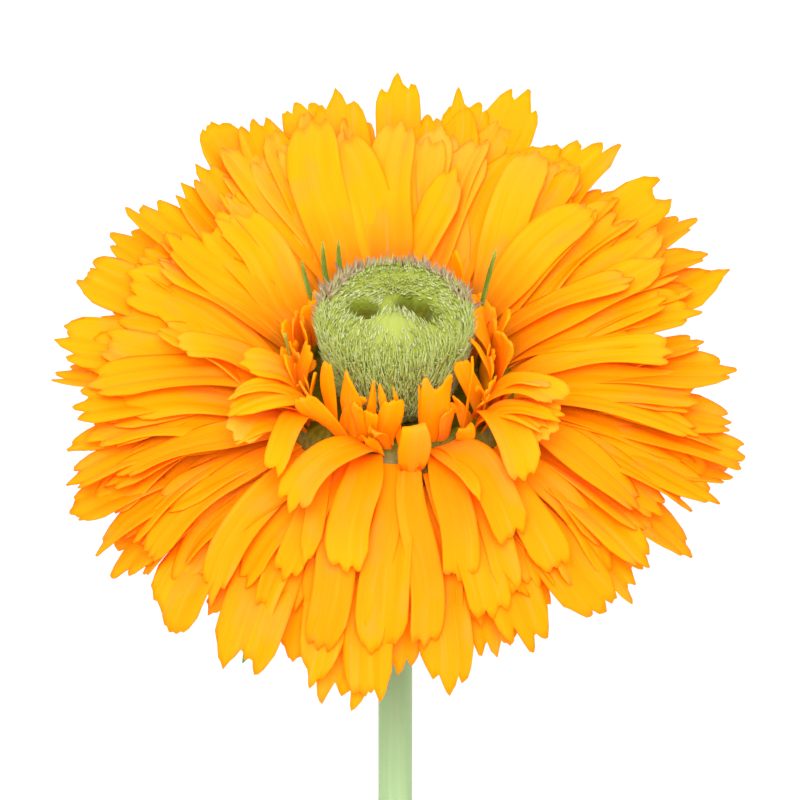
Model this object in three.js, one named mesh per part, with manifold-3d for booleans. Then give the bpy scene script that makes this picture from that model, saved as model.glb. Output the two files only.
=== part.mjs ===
// A double pot marigold bloom, cut with a short length of stem and laid on a flat surface.
// The stem lies along -Y. The head rests on the tips of its far petals and faces up at an angle.
// Units are millimetres, +Z is up and the surface is at Z = 0.
import * as THREE from "three";
import { mergeVertices } from "three/addons/utils/BufferGeometryUtils.js";
import Module from "manifold-3d";

const wasm = await Module();
wasm.setup();

// Driving dimensions of the head
const HEAD_HEIGHT = 20; // centre of the ring where the petals are rooted, above the surface
const HEAD_TILT = 50; // degrees from straight up to the head's own axis
const FULL_REACH = 40; // from the head's centre to the furthest petal tips, seen from above
const FAR_STRETCH = 0.03; // how much longer the far petals are, and shorter the ones over the stem
const DISC_RADIUS = 9.1;
const DISC_HEIGHT = 12.2;
const SEAT_GAP = 0.3; // between sub-parts that touch

// Driving dimensions of the petals
const PETAL_THICKNESS = 0.6;
const ROOT_WIDTH_SHARE = 0.26; // of the petal's greatest width
const WIDEST_AT = 0.68; // share of the length where a petal reaches its greatest width

// Where each layer of petals is rooted, and how far alternate petals are lifted and lowered
const EDGE_LAYER = { radius: 11, upper: -3.6, lower: -4.6, lift: 1.1 };
const FACE_LAYER = { radius: 11.4, upper: -1.6, lower: -2.6, lift: 0.9 };
const CURLED_LAYER = { radius: 12.2, height: -0.6, lift: 2.4 };
const FLORET_ROOT = { radius: 11.9, height: -0.9 };

// Driving dimensions of the stem and of the green cup under the petals
const STEM_RADIUS = 2;
const STEM_END = -86; // Y of the cut end, counted from the head's centre
const CUP_RADIUS = 10.6;
const CUP_BOTTOM = 10.8; // where the stem leaves the cup, below the head's centre
const STEM_SIDES = 10;

const rad = THREE.MathUtils.degToRad;
const mix = THREE.MathUtils.lerp;
const headTurn = new THREE.Quaternion().setFromAxisAngle(new THREE.Vector3(1, 0, 0), rad(-HEAD_TILT));
const headPlace = new THREE.Vector3(0, 0, HEAD_HEIGHT);
const toHead = headTurn.clone().invert();

// A repeatable draw from 0 to 1, for item i and purpose k.
function draw(i, k) {
  const v = Math.sin(i * 12.9898 + k * 78.233) * 43758.5453;
  return v - Math.floor(v);
}

// Where a petal ends, as a share of its length, at five places across its width, clockwise.
const TIP = {
  round: [0.89, 0.975, 1, 0.975, 0.89],
  three: [0.98, 0.955, 1, 0.96, 0.98],
  notch: [0.95, 1, 0.95, 0.99, 0.94],
  point: [0.79, 0.91, 1, 0.91, 0.79],
  slant: [0.87, 0.93, 0.955, 1, 0.95],
  slope: [0.95, 1, 0.965, 0.93, 0.87],
};

// Rows are [clock, reach, width, tip]. Clock is degrees round from +Y towards +X, seen from above,
// and reach is millimetres from the head's centre to the petal's tip, seen from above.

// The outermost petals, which make the bloom's outline.
const EDGE_PETALS = [
  [0.5, 35.6, 4.8, "three"], [7, 31.4, 4.6, "round"], [12, 35.0, 4.8, "point"], [17, 33.4, 4.8, "round"],
  [24, 37.4, 6.6, "round"], [34.5, 33.2, 6.0, "round"], [41.5, 38.0, 6.4, "slant"],
  [48, 33.6, 5.4, "round"], [54.5, 38.8, 6.0, "notch"], [61, 39.8, 5.8, "round"],
  [66.5, 38.8, 5.2, "round"], [71.5, 40.3, 5.8, "point"], [77, 36.2, 4.6, "point"],
  [83, 35.2, 5.0, "round"], [88, 39.9, 6.2, "point"], [96, 39.3, 5.6, "round"],
  [101.5, 41.6, 6.0, "three"], [106, 40.4, 4.6, "round"], [110.8, 40.0, 4.6, "point"],
  [120.5, 39.0, 6.0, "round"], [125.5, 35.4, 4.8, "round"], [131, 37.4, 6.2, "slant"],
  [137.5, 35.8, 6.2, "round"], [147.5, 31.8, 5.2, "three"], [152.5, 34.4, 5.8, "three"],
  [160, 33.2, 5.0, "three"], [170, 35.8, 5.4, "round"], [179, 33.0, 4.6, "round"],
  [184.5, 36.4, 5.0, "notch"], [190.5, 38.0, 5.8, "notch"], [195.5, 36.2, 4.4, "point"],
  [200.5, 33.8, 4.6, "round"], [208.5, 37.6, 6.8, "notch"], [216, 34.8, 5.2, "three"],
  [223.5, 38.8, 6.8, "slope"], [235.5, 39.3, 6.6, "round"], [240.5, 39.6, 4.0, "point"],
  [247.8, 39.8, 5.6, "round"], [253, 38.8, 5.6, "round"], [258.5, 38.9, 3.8, "point"],
  [265.5, 37.0, 5.2, "three"], [271, 39.3, 5.2, "round"], [277, 39.2, 6.2, "three"],
  [283.5, 34.4, 5.0, "round"], [290.5, 38.6, 6.2, "notch"], [298.5, 37.2, 5.8, "round"],
  [305, 36.6, 6.2, "slope"], [313, 33.6, 5.8, "round"], [318.5, 34.0, 5.0, "round"],
  [325.5, 37.2, 6.4, "round"], [332, 35.2, 5.6, "round"], [341, 34.8, 6.0, "round"],
  [348.5, 34.4, 6.4, "round"],
];

// Shorter petals in front of them, whose tips show on the face of the bloom.
const FACE_PETALS = [
  [4, 25.2, 6.2, "round"], [17, 28.6, 6.4, "three"], [28, 24.6, 6.2, "round"], [38, 29.2, 6.4, "round"],
  [49, 24.8, 6.0, "round"], [60, 29.2, 6.4, "round"], [67, 25.4, 5.8, "point"], [75, 34.0, 6.0, "round"],
  [84, 28.4, 6.0, "three"], [95, 31.0, 6.2, "notch"], [103, 24.6, 6.0, "three"], [112, 32.4, 6.4, "round"],
  [119, 25.2, 6.2, "three"], [130, 29.8, 6.4, "slope"], [138, 24.0, 6.0, "round"], [149, 28.8, 6.2, "three"],
  [160, 24.8, 6.2, "three"], [170, 28.4, 5.8, "round"], [181, 25.0, 6.0, "round"], [190, 30.0, 6.2, "three"],
  [200, 26.4, 6.0, "round"], [209, 29.6, 6.2, "three"], [217, 24.4, 5.8, "point"], [224, 30.6, 6.4, "three"],
  [233, 25.6, 6.0, "round"], [243, 31.2, 6.2, "three"], [252, 25.4, 6.2, "slant"], [262, 33.0, 6.0, "round"],
  [270, 27.6, 6.4, "round"], [279, 34.4, 6.4, "three"], [287, 27.4, 6.0, "slant"], [297, 31.6, 6.2, "round"],
  [307, 27.0, 6.2, "point"], [316, 30.6, 6.4, "round"], [327, 24.2, 6.2, "notch"], [336, 29.4, 6.6, "round"],
  [347, 25.8, 6.2, "round"], [356, 30.4, 5.8, "three"],
];

// Rows are [clock, reach, width, tip, arch], for the petals nearest the disc that curl right over.
const CURLED_PETALS = [
  [127, 19.6, 5.8, "round", 62], [142, 22.4, 7.2, "round", 50], [150, 16.6, 3.6, "point", 30],
  [163, 20.4, 5.6, "round", 40], [175, 17.4, 5.0, "three", 56], [190, 20.8, 5.2, "round", 38],
  [207, 18.0, 4.6, "point", 44], [221.5, 19.6, 6.8, "three", 56], [236, 17.7, 5.4, "round", 58],
  [250, 19.2, 5.0, "three", 40], [264, 17.6, 5.4, "round", 36], [279, 19.6, 5.2, "slant", 26],
  [297, 20.8, 5.6, "round", 18], [318, 22.0, 5.4, "point", 8], [342, 22.4, 5.6, "round", 2],
  [10, 22.6, 5.8, "round", 2], [40, 21.6, 5.4, "round", 10], [66, 19.4, 5.4, "three", 20],
  [90, 17.4, 4.8, "round", 42], [110, 18.8, 5.6, "three", 46],
];

// Rows are [azimuth, length, width, tip, lean, sway], for the short florets that stand round the disc.
// Azimuth is degrees about the head's axis from +X. Lean is degrees outwards, and sway is sideways.
const DISC_SIDE_FLORETS = [
  [-6, 13.2, 4.6, "slope", 12, -6], [-23, 12.8, 2.6, "point", 2, -20], [-37, 9.8, 2.6, "point", 14, -36],
  [-51, 12.6, 3.4, "notch", 2, -4], [-65, 11.8, 4.4, "notch", 4, 8], [-77, 10.6, 3.0, "point", 10, 14],
  [-92, 8.8, 4.4, "round", 16, -12], [-103, 11.4, 2.6, "point", 1, 2], [-117, 11.8, 3.8, "point", 6, -16],
  [-131, 11.6, 3.4, "three", 1, 4], [-142, 9.4, 3.2, "point", 16, 14], [-154, 12.0, 3.8, "slant", 6, 12],
  [-171, 9.8, 3.2, "point", 12, -10], [168, 8.6, 3.0, "round", 10, 8], [138, 8.0, 2.8, "point", 8, -6],
  [104, 7.6, 2.6, "round", 8, 8], [70, 8.0, 2.8, "round", 8, -8], [38, 8.2, 2.6, "point", 8, 6],
  [14, 10.0, 3.0, "round", 10, -6],
];

// Rows are [azimuth, length, drop], for the two long leafy bracts. Drop is degrees off the head's plane.
const LEAFY_BRACTS = [[-128, 26, -36], [-108, 25, -44]];

// Rows are [radius, height] about the head's axis.
const DISH_PROFILE = [[0, -5.6], [11, -5.6], [14.4, -4.4], [14.4, -1.2], [10.9, 1], [10.4, -0.6], [0, -0.6]];
const DISC_PROFILE = [
  [0, SEAT_GAP - 0.6], [6.6, SEAT_GAP - 0.6], [7.8, 3], [8.7, 6], [DISC_RADIUS, 8.2], [8.8, 10],
  [7.9, 11.2], [6.5, DISC_HEIGHT], [5.1, 12], [4.1, 11], [1.8, 11.3], [0, 11.6],
];
const CUP_TOP = -5.6 - SEAT_GAP;
const CUP_PROFILE = [
  [0, CUP_TOP], [CUP_RADIUS, CUP_TOP], [CUP_RADIUS - 0.8, CUP_TOP - 1.6], [6.4, CUP_TOP - 3.6],
  [2.9, -CUP_BOTTOM], [0, -CUP_BOTTOM],
];

// Rows are [x, y, z, radius], for the hollows in the disc's crown.
const PITS = [[-3.4, -0.9, 11.2, 1.5], [1.4, 0.3, 11.2, 1.2], [3.0, -2.0, 11.2, 1.4]];

// The places of the disc's bracts, from its foot to its rim, as [radius, height].
const BRACT_ROWS = [[7.7, 2.6], [8.6, 5.6], [DISC_RADIUS, 8], [8.8, 10], [7.9, 11.2], [6.5, DISC_HEIGHT]];

// Height of a petal's tip above the head's centre. Short petals ride higher, on top of the long ones.
// The far side is pushed up by the surface, and the side over the stem droops back.
function tipHeight(clock, reach) {
  const along = Math.cos(rad(clock));
  const rise = (FULL_REACH - reach) * (along > 0 ? 0.6 - 0.2 * along : 0.6) - 2;
  const slope = (along > 0 ? 27 : 13) * Math.pow(reach / FULL_REACH, 1.2);
  return rise - slope * along;
}

// The line down the middle of a petal, in the head's frame. It rises from its root and arches to its tip.
function petalLine({ clock, reach, height, arch, rootRadius, rootHeight, swing }) {
  const plan = reach * (1 + FAR_STRETCH * Math.cos(rad(clock)));
  const tip = new THREE.Vector3(plan * Math.sin(rad(clock)), plan * Math.cos(rad(clock)), height)
    .applyQuaternion(toHead);
  const azimuth = Math.atan2(tip.y, tip.x) + rad(swing);
  const root = new THREE.Vector3(rootRadius * Math.cos(azimuth), rootRadius * Math.sin(azimuth), rootHeight);
  const chord = tip.clone().sub(root);
  const length = chord.length();
  const elevation = Math.asin(chord.z / length);
  const heading = Math.atan2(chord.y, chord.x);
  const handle = length / (3 * Math.cos(rad(arch) / 2) ** 2);
  const leaving = direction(mix(heading, azimuth, 0.4), elevation + rad(arch)).multiplyScalar(handle);
  const arriving = direction(heading, elevation - rad(arch)).multiplyScalar(handle);
  return {
    curve: new THREE.CubicBezierCurve3(root, root.clone().add(leaving), tip.clone().sub(arriving), tip),
    side: new THREE.Vector3(-Math.sin(heading), Math.cos(heading), 0),
  };
}

function direction(azimuth, elevation) {
  return new THREE.Vector3(
    Math.cos(elevation) * Math.cos(azimuth),
    Math.cos(elevation) * Math.sin(azimuth),
    Math.sin(elevation),
  );
}

// A petal that would reach under the surface is bent up to lie flat on it.
function pressed(point, lowest) {
  const world = point.clone().applyQuaternion(headTurn).add(headPlace);
  world.z = Math.max(world.z, lowest);
  return world.sub(headPlace).applyQuaternion(toHead);
}

// Half the width of a petal at a share s of its length.
function halfWidth(width, s) {
  const grown = Math.min(1, s / WIDEST_AT);
  const narrowed = s > 0.85 ? 1 - 0.7 * (s - 0.85) : 1;
  return (width / 2) * mix(ROOT_WIDTH_SHARE, 1, grown * grown * (3 - 2 * grown)) * narrowed;
}

// A petal as a closed solid: rows of points along it, the last one cut to the shape of the tip.
function petal(line, shape, shares = [0, 0.42, 0.74, 1]) {
  const { curve, side } = line;
  const { width, tip, cup = 0.12, twist = 0, plain = false } = shape;
  const slim = tip === "point" || (plain && tip === "round");
  const rows = shares.map((s, j) => {
    let columns = [-1, 0, 1];
    if (j === 0) columns = [-1, 1];
    if (j === shares.length - 1 && !slim) columns = [-1, -0.5, 0, 0.5, 1];
    return columns.map((u) => {
      const at = s * TIP[tip][2 - 2 * u];
      const tangent = curve.getTangent(at);
      const right = side.clone().addScaledVector(tangent, -side.dot(tangent)).normalize();
      const up = tangent.clone().cross(right).normalize();
      const turn = rad(twist) * at;
      const acrossWay = right.clone().multiplyScalar(Math.cos(turn)).addScaledVector(up, Math.sin(turn));
      const upWay = tangent.clone().cross(acrossWay).normalize();
      const half = halfWidth(width, at);
      const middle = curve.getPoint(at)
        .addScaledVector(acrossWay, u * half)
        .addScaledVector(upWay, cup * u * u * half);
      const skin = upWay.multiplyScalar(PETAL_THICKNESS / 2);
      return [pressed(middle.clone().add(skin), PETAL_THICKNESS), pressed(middle.clone().sub(skin), 0)];
    });
  });
  return solidFromRows(rows);
}

// Rows of [upper, lower] points make one closed solid. Both faces are split into the same triangles.
function solidFromRows(rows) {
  const points = [];
  const index = rows.map((row) => row.map(([upper, lower]) => points.push(upper, lower) - 2));
  const faces = [];
  const skin = (a, b, c) => faces.push([a, b, c], [a + 1, c + 1, b + 1]);
  for (let j = 0; j + 1 < index.length; j++) {
    const near = index[j];
    const far = index[j + 1];
    let a = 0;
    let b = 0;
    while (a + 1 < near.length || b + 1 < far.length) {
      const nearShare = (a + 1) / (near.length - 1);
      const farShare = (b + 1) / (far.length - 1);
      if (b + 1 < far.length && (a + 1 >= near.length || farShare <= nearShare)) {
        skin(near[a], far[b], far[b + 1]);
        b += 1;
      } else {
        skin(near[a], far[b], near[a + 1]);
        a += 1;
      }
    }
  }
  const last = index.length - 1;
  const rim = [
    ...index.map((row) => row[0]),
    ...index[last].slice(1),
    ...index.slice(0, last).reverse().map((row) => row[row.length - 1]),
    ...index[0].slice(1, -1).reverse(),
  ];
  rim.forEach((a, i) => {
    const b = rim[(i + 1) % rim.length];
    faces.push([a, a + 1, b + 1], [a, b + 1, b]);
  });
  return solid(points, faces);
}

function solid(points, faces) {
  const made = new wasm.Manifold(
    new wasm.Mesh({
      numProp: 3,
      vertProperties: new Float32Array(points.flatMap((p) => [p.x, p.y, p.z])),
      triVerts: new Uint32Array(faces.flat()),
    }),
  );
  if (made.volume() > 0) return made;
  return solid(points, faces.map(([a, b, c]) => [a, c, b]));
}

// Small closed pockets between crossing petals are filled in.
function outerShell(made) {
  return made.decompose().reduce((a, b) => (a.volume() > b.volume() ? a : b));
}

// A three.js geometry as a solid.
function solidOf(geometry) {
  const bare = geometry.clone().deleteAttribute("normal").deleteAttribute("uv");
  const merged = mergeVertices(bare, 1e-4);
  return new wasm.Manifold(
    new wasm.Mesh({
      numProp: 3,
      vertProperties: merged.attributes.position.array,
      triVerts: new Uint32Array(merged.index.array),
    }),
  );
}

// A solid as a three.js geometry.
function geometryOf(made) {
  const mesh = made.getMesh();
  return new THREE.BufferGeometry()
    .setAttribute("position", new THREE.BufferAttribute(mesh.vertProperties, 3))
    .setIndex(new THREE.BufferAttribute(mesh.triVerts, 1));
}

// A solid of revolution about the head's axis, from [radius, height] points.
function turned(profile, sides) {
  const outline = profile.map(([r, h]) => new THREE.Vector2(r, h));
  const made = solidOf(new THREE.LatheGeometry(outline, sides).rotateX(Math.PI / 2));
  if (made.volume() > 0) return made;
  outline.reverse();
  return solidOf(new THREE.LatheGeometry(outline, sides).rotateX(Math.PI / 2));
}

// The orange petals, rooted in whorls on a shallow dish that the disc sits in.
function rayFlorets() {
  const pieces = [turned(DISH_PROFILE, 20)];
  EDGE_PETALS.forEach(([clock, reach, width, tip], i) => {
    const under = i % 2;
    const along = Math.cos(rad(clock));
    const line = petalLine({
      clock,
      reach,
      height: tipHeight(clock, reach) + (under ? -EDGE_LAYER.lift : EDGE_LAYER.lift),
      arch: 15 - 9 * along + 4 * draw(i, 1),
      rootRadius: EDGE_LAYER.radius,
      rootHeight: under ? EDGE_LAYER.lower : EDGE_LAYER.upper,
      swing: 4 * (draw(i, 2) - 0.5),
    });
    const shares = along > 0.9 ? [0, 0.42, 0.7, 0.86, 1] : undefined;
    pieces.push(petal(line, { width, tip, twist: 16 * (draw(i, 3) - 0.5) }, shares));
  });
  FACE_PETALS.forEach(([clock, reach, width, tip], i) => {
    const under = i % 2;
    const along = Math.cos(rad(clock));
    const line = petalLine({
      clock,
      reach,
      height: tipHeight(clock, reach) + (under ? -FACE_LAYER.lift : FACE_LAYER.lift),
      arch: mix(22, 28, (34 - reach) / 12) - 11 * along + 3 * draw(i, 5),
      rootRadius: FACE_LAYER.radius,
      rootHeight: under ? FACE_LAYER.lower : FACE_LAYER.upper,
      swing: 5 * (draw(i, 6) - 0.5),
    });
    pieces.push(petal(line, { width, tip, twist: 20 * (draw(i, 7) - 0.5), plain: true }));
  });
  CURLED_PETALS.forEach(([clock, reach, width, tip, arch], i) => {
    const near = Math.max(0, -Math.cos(rad(clock)));
    const line = petalLine({
      clock,
      reach,
      height: tipHeight(clock, reach) + CURLED_LAYER.lift * near,
      arch,
      rootRadius: CURLED_LAYER.radius,
      rootHeight: CURLED_LAYER.height,
      swing: 10 * (draw(i, 8) - 0.5),
    });
    pieces.push(petal(line, { width, tip, twist: 24 * (draw(i, 9) - 0.5), plain: true }));
  });
  DISC_SIDE_FLORETS.forEach(([azimuth, length, width, tip, lean, sway], i) => {
    const line = floretLine(azimuth, length, lean, sway);
    pieces.push(petal(line, { width, tip, twist: 50 * (draw(i, 12) - 0.5) }, [0, 0.55, 1]));
  });
  return outerShell(wasm.Manifold.union(pieces));
}

// The line of a short floret that stands beside the disc.
function floretLine(azimuth, length, lean, sway) {
  const around = rad(azimuth);
  const root = direction(around, 0).multiplyScalar(FLORET_ROOT.radius).setZ(FLORET_ROOT.height);
  const side = new THREE.Vector3(-Math.sin(around), Math.cos(around), 0);
  const start = direction(around, rad(88)).multiplyScalar(length / 3);
  const end = direction(around, rad(90 - 1.6 * lean))
    .addScaledVector(side, Math.tan(rad(sway)))
    .normalize()
    .multiplyScalar(length / 3);
  const middle = root.clone().add(start);
  const bend = middle.clone().add(start.clone().add(end).multiplyScalar(0.5));
  return { curve: new THREE.CubicBezierCurve3(root, middle, bend, bend.clone().add(end)), side };
}

// The green disc: a tall button, widest near its top, with a sunken crown and pointed bracts all over it.
function disc() {
  let button = turned(DISC_PROFILE, 20);
  PITS.forEach(([x, y, z, radius]) => {
    button = button.subtract(solidOf(new THREE.IcosahedronGeometry(radius, 1)).translate([x, y, z]));
  });
  const count = 104;
  const bracts = Array.from({ length: count }, (_, i) => discBract(i * 137.508, (i + 0.5) / count));
  return outerShell(wasm.Manifold.union([button, ...bracts]));
}

// One bract of the disc: a slim spike sunk in the side of the button, standing clear of it at its tip.
// Share runs from the foot of the disc to its rim.
function discBract(azimuth, share) {
  const at = share * (BRACT_ROWS.length - 1.001);
  const below = BRACT_ROWS[Math.floor(at)];
  const above = BRACT_ROWS[Math.floor(at) + 1];
  const around = rad(azimuth);
  const radius = mix(below[0], above[0], at % 1) - 0.4;
  const height = mix(below[1], above[1], at % 1);
  const length = mix(4.4, 2.8, share);
  const way = direction(around, rad(mix(78, 100, share)));
  const sideways = new THREE.Vector3(-Math.sin(around), Math.cos(around), 0);
  const out = sideways.clone().cross(way);
  const root = direction(around, 0).multiplyScalar(radius).setZ(height - 1.2);
  const middle = root.clone().addScaledVector(way, length * 0.5);
  const half = 0.62;
  const points = [
    root,
    middle.clone().addScaledVector(sideways, half),
    middle.clone().addScaledVector(out, 0.8),
    middle.clone().addScaledVector(sideways, -half),
    middle.clone().addScaledVector(out, -0.5),
    root.clone().addScaledVector(way, length).addScaledVector(out, 0.45),
  ];
  const faces = [[0, 1, 2], [0, 2, 3], [0, 3, 4], [0, 4, 1], [5, 2, 1], [5, 3, 2], [5, 4, 3], [5, 1, 4]];
  return solid(points, faces);
}

// The green cup under the petals, with two rows of bracts and a pair of longer, leafy ones.
function involucre() {
  const pieces = [turned(CUP_PROFILE, 20)];
  const count = 20;
  for (let i = 0; i < count; i++) {
    const azimuth = (360 / count) * i + 6 * (draw(i, 10) - 0.5);
    const far = Math.sin(rad(azimuth));
    const length = mix(9.5, 6.2, (far + 1) / 2) + 1.5 * draw(i, 11);
    const slope = 4 + 8 * Math.max(0, far) - 26 * Math.max(0, -far);
    const line = bractLine(azimuth, length, slope, i % 2 ? -7.2 : -8);
    pieces.push(petal(line, { width: 2.8, tip: "point", cup: 0.2 }, [0, 0.5, 1]));
  }
  LEAFY_BRACTS.forEach(([azimuth, length, drop]) => {
    const line = bractLine(azimuth, length, drop, -7.6);
    pieces.push(petal(line, { width: 4.2, tip: "point", cup: 0.15 }, [0, 0.35, 0.7, 1]));
  });
  return outerShell(wasm.Manifold.union(pieces));
}

// The line of a bract, which bends down a little from its root to its tip.
function bractLine(azimuth, length, drop, rootHeight) {
  const around = rad(azimuth);
  const root = direction(around, 0).multiplyScalar(7.2).setZ(rootHeight);
  const step = length / 3;
  const first = root.clone().add(direction(around, rad(drop + 8)).multiplyScalar(step));
  const second = first.clone().add(direction(around, rad(drop)).multiplyScalar(step));
  const third = second.clone().add(direction(around, rad(drop - 8)).multiplyScalar(step));
  return {
    curve: new THREE.CubicBezierCurve3(root, first, second, third),
    side: new THREE.Vector3(-Math.sin(around), Math.cos(around), 0),
  };
}

// The stem: from under the cup it bends down to the surface and lies along it to the cut end.
function stem() {
  const down = new THREE.Vector3(0, -Math.sin(rad(HEAD_TILT)), -Math.cos(rad(HEAD_TILT)));
  const start = headPlace.clone().addScaledVector(down, CUP_BOTTOM + SEAT_GAP);
  const lying = STEM_RADIUS * Math.cos(Math.PI / STEM_SIDES);
  const onSurface = (y) => new THREE.Vector3(0, y, lying);
  const bend = start.clone().addScaledVector(down, 8);
  const neck = new THREE.CubicBezierCurve3(start, bend, onSurface(-22), onSurface(-34));
  const middles = neck.getPoints(9);
  const ways = middles.map((_, i) => neck.getTangent(i / 9));
  middles.push(onSurface(-60), onSurface(STEM_END));
  ways.push(onSurface(-1).setZ(0), onSurface(-1).setZ(0));
  const points = [];
  middles.forEach((middle, i) => {
    const up = new THREE.Vector3(1, 0, 0).cross(ways[i]).normalize();
    for (let k = 0; k < STEM_SIDES; k++) {
      const around = (2 * Math.PI * (k + 0.5)) / STEM_SIDES - Math.PI / 2;
      const point = middle.clone().addScaledVector(up, STEM_RADIUS * Math.sin(around));
      point.x += STEM_RADIUS * Math.cos(around);
      points.push(point);
    }
  });
  const faces = [];
  for (let j = 0; j < middles.length - 1; j++) {
    for (let k = 0; k < STEM_SIDES; k++) {
      const a = j * STEM_SIDES + k;
      const b = j * STEM_SIDES + ((k + 1) % STEM_SIDES);
      faces.push([a, b, b + STEM_SIDES], [a, b + STEM_SIDES, a + STEM_SIDES]);
    }
  }
  const end = points.length - STEM_SIDES;
  for (let k = 1; k + 1 < STEM_SIDES; k++) {
    faces.push([0, k + 1, k], [end, end + k, end + k + 1]);
  }
  return solid(points, faces);
}

const orange = new THREE.MeshStandardMaterial({ color: 0xffae08, roughness: 0.55, metalness: 0 });
const discGreen = new THREE.MeshStandardMaterial({ color: 0xa5b860, roughness: 0.8, metalness: 0 });
const leafGreen = new THREE.MeshStandardMaterial({ color: 0x6f9a45, roughness: 0.65, metalness: 0 });
const stemGreen = new THREE.MeshStandardMaterial({ color: 0xb4d39a, roughness: 0.5, metalness: 0 });

function named(name, geometry, material) {
  const mesh = new THREE.Mesh(geometry, material);
  mesh.name = name;
  return mesh;
}

const head = new THREE.Group();
head.quaternion.copy(headTurn);
head.position.copy(headPlace);
head.add(named("ray_florets", geometryOf(rayFlorets()), orange));
head.add(named("disc", geometryOf(disc()), discGreen));
head.add(named("involucre", geometryOf(involucre()), leafGreen));

const flower = new THREE.Group();
flower.add(head);
flower.add(named("stem", geometryOf(stem()), stemGreen));

// The origin is the middle of the whole flower's footprint.
const box = new THREE.Box3().setFromObject(flower, true);
for (const child of flower.children) {
  child.position.x -= (box.min.x + box.max.x) / 2;
  child.position.y -= (box.min.y + box.max.y) / 2;
}

export default flower;
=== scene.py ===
# The looks of a double pot marigold bloom, cut with a short length of stem and laid on a flat surface.
# The stem lies along -Y. The head rests on the tips of its far petals and faces up at an angle.
# Shapes are worked out in millimetres, in the head's own frame, and turned into metres at the end.
import math

import bpy
import numpy as np
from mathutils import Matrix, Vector


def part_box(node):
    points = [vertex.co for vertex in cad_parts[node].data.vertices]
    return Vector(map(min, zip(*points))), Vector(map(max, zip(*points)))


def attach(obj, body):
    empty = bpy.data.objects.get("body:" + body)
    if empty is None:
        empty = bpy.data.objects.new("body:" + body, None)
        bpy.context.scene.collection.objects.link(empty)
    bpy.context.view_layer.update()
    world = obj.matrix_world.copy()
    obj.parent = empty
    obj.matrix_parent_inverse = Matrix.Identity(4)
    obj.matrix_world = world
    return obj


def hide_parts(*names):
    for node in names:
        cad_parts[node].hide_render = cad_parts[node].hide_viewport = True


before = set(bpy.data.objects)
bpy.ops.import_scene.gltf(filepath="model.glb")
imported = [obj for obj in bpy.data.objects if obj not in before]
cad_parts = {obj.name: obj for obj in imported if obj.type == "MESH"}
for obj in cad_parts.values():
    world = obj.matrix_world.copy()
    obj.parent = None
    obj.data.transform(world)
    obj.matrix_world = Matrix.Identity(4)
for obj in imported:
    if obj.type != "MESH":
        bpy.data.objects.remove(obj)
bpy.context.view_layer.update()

# Driving dimensions of the head
HEAD_HEIGHT = 20  # centre of the ring where the petals are rooted, above the surface
HEAD_TILT = 50  # degrees from straight up to the head's own axis
FULL_REACH = 40  # half the width of the bloom, seen from above
FAR_STRETCH = 0.03  # share by which the far petals are longer, and the ones over the stem shorter
DISC_HEIGHT = 12.2  # of the crown, above the head's centre

# How high the petals' tips ride
SHORT_RISE = 0.6  # for each millimetre that a petal falls short of the full reach
FAR_RISE_LOSS = 0.2  # less of that on the far side
TIP_DROP = 2  # of the longest petals on the left and right, below the head's centre
FAR_SLOPE = 27  # further drop of the far petals' tips
NEAR_SLOPE = 13  # rise of the tips over the stem
SLOPE_POWER = 1.2  # how these two grow with a petal's reach

# Driving dimensions of the petals
PETAL_THICKNESS = 0.3
TOOTH_REACH = 0.6  # how far the teeth of the outermost petals stand out past the reach in the table
ROOT_WIDTH_SHARE = 0.4  # of the petal's greatest width
WIDEST_AT = 0.5  # share of the length where a petal reaches its greatest width

# Driving dimensions of the stem and of the green cup under the petals. Y is counted from the head's centre.
STEM_RADIUS = 2
STEM_END = -86  # Y of the cut end
BEND_Y = -22  # Y of the control point that draws the bend down to the surface
BEND_END = -34  # Y where the bend ends and the stem lies flat
FLAT_SIDES = 10  # sides of the solid stem, which lies on one of them
CUP_RADIUS = 10.6
CUP_BOTTOM = 10.8  # where the stem leaves the cup, below the head's centre

# The head's centre in the shared frame, found from the stem, in millimetres
stem_low, stem_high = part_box("stem")
HEAD_PLACE = np.array([
    500 * (stem_low.x + stem_high.x),
    1000 * stem_low.y - STEM_END,
    HEAD_HEIGHT,
])

# Places of the lamp and the camera in metres, from the head's centre
LAMP_PLACE = Vector((-0.03, 0.23, 0.9))
CAMERA_PLACE = Vector((0.00057, -0.0017, 0.508))

GOLDEN_ANGLE = 137.508  # degrees from one drawn petal to the next, which spreads them evenly

TILT_COS = math.cos(math.radians(HEAD_TILT))
TILT_SIN = math.sin(math.radians(HEAD_TILT))
HEAD_TURN = np.array([[1, 0, 0], [0, TILT_COS, TILT_SIN], [0, -TILT_SIN, TILT_COS]])


def draw(i, k):
    """A repeatable draw from 0 to 1, for item i and purpose k."""
    v = math.sin(i * 12.9898 + k * 78.233) * 43758.5453
    return v - math.floor(v)


def mix(a, b, share):
    """The value that lies a share of the way from a to b."""
    return a + (b - a) * share


def spread(i, k, width):
    """A repeatable draw about zero, over the given width."""
    return width * (draw(i, k) - 0.5)


def smooth(share):
    """The share, eased in and out and kept from 0 to 1."""
    share = np.clip(share, 0, 1)
    return share * share * (3 - 2 * share)


def direction(azimuth, elevation):
    """A unit vector from two angles in radians."""
    return np.array([
        math.cos(elevation) * math.cos(azimuth),
        math.cos(elevation) * math.sin(azimuth),
        math.sin(elevation),
    ])


def unit(vectors):
    return vectors / np.linalg.norm(vectors, axis=-1, keepdims=True)


def to_world(points):
    """From the head's frame to the shared frame, in millimetres."""
    return points @ HEAD_TURN.T + HEAD_PLACE


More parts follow.
